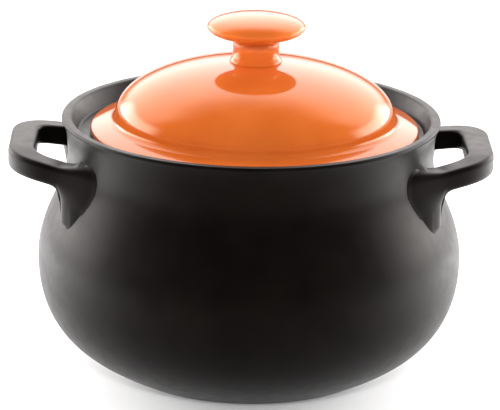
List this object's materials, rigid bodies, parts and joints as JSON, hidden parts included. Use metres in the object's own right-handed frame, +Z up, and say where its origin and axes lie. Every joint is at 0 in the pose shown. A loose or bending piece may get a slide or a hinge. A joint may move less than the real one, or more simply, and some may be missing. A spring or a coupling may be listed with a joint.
{
  "type": "clay casserole pot",
  "caption": "Round bellied clay casserole for stewing, with a loop handle on each side and a domed, knobbed lid that sits in a gallery inside the flared lip and lifts off.",
  "frame": {"origin": "centre of the foot ring, on the surface that the pot stands on", "axes": "+Z up through the knob, +X towards the right handle, -Y towards the viewer of the picture"},
  "size_m": [0.2658, 0.23, 0.1968],
  "materials": {
    "black_glaze": "satin",
    "orange_glaze": "gloss"
  },
  "bodies": {
    "pot": {"pot_body": "black_glaze", "handle_left": "black_glaze", "handle_right": "black_glaze"},
    "lid": {"lid": "orange_glaze", "lid_knob": "orange_glaze"}
  },
  "joints": [
    {"name": "lid_lift", "type": "slide", "parent": "pot", "child": "lid", "axis": [0, 0, 1], "range_m": [0, 0.2]}
  ]
}
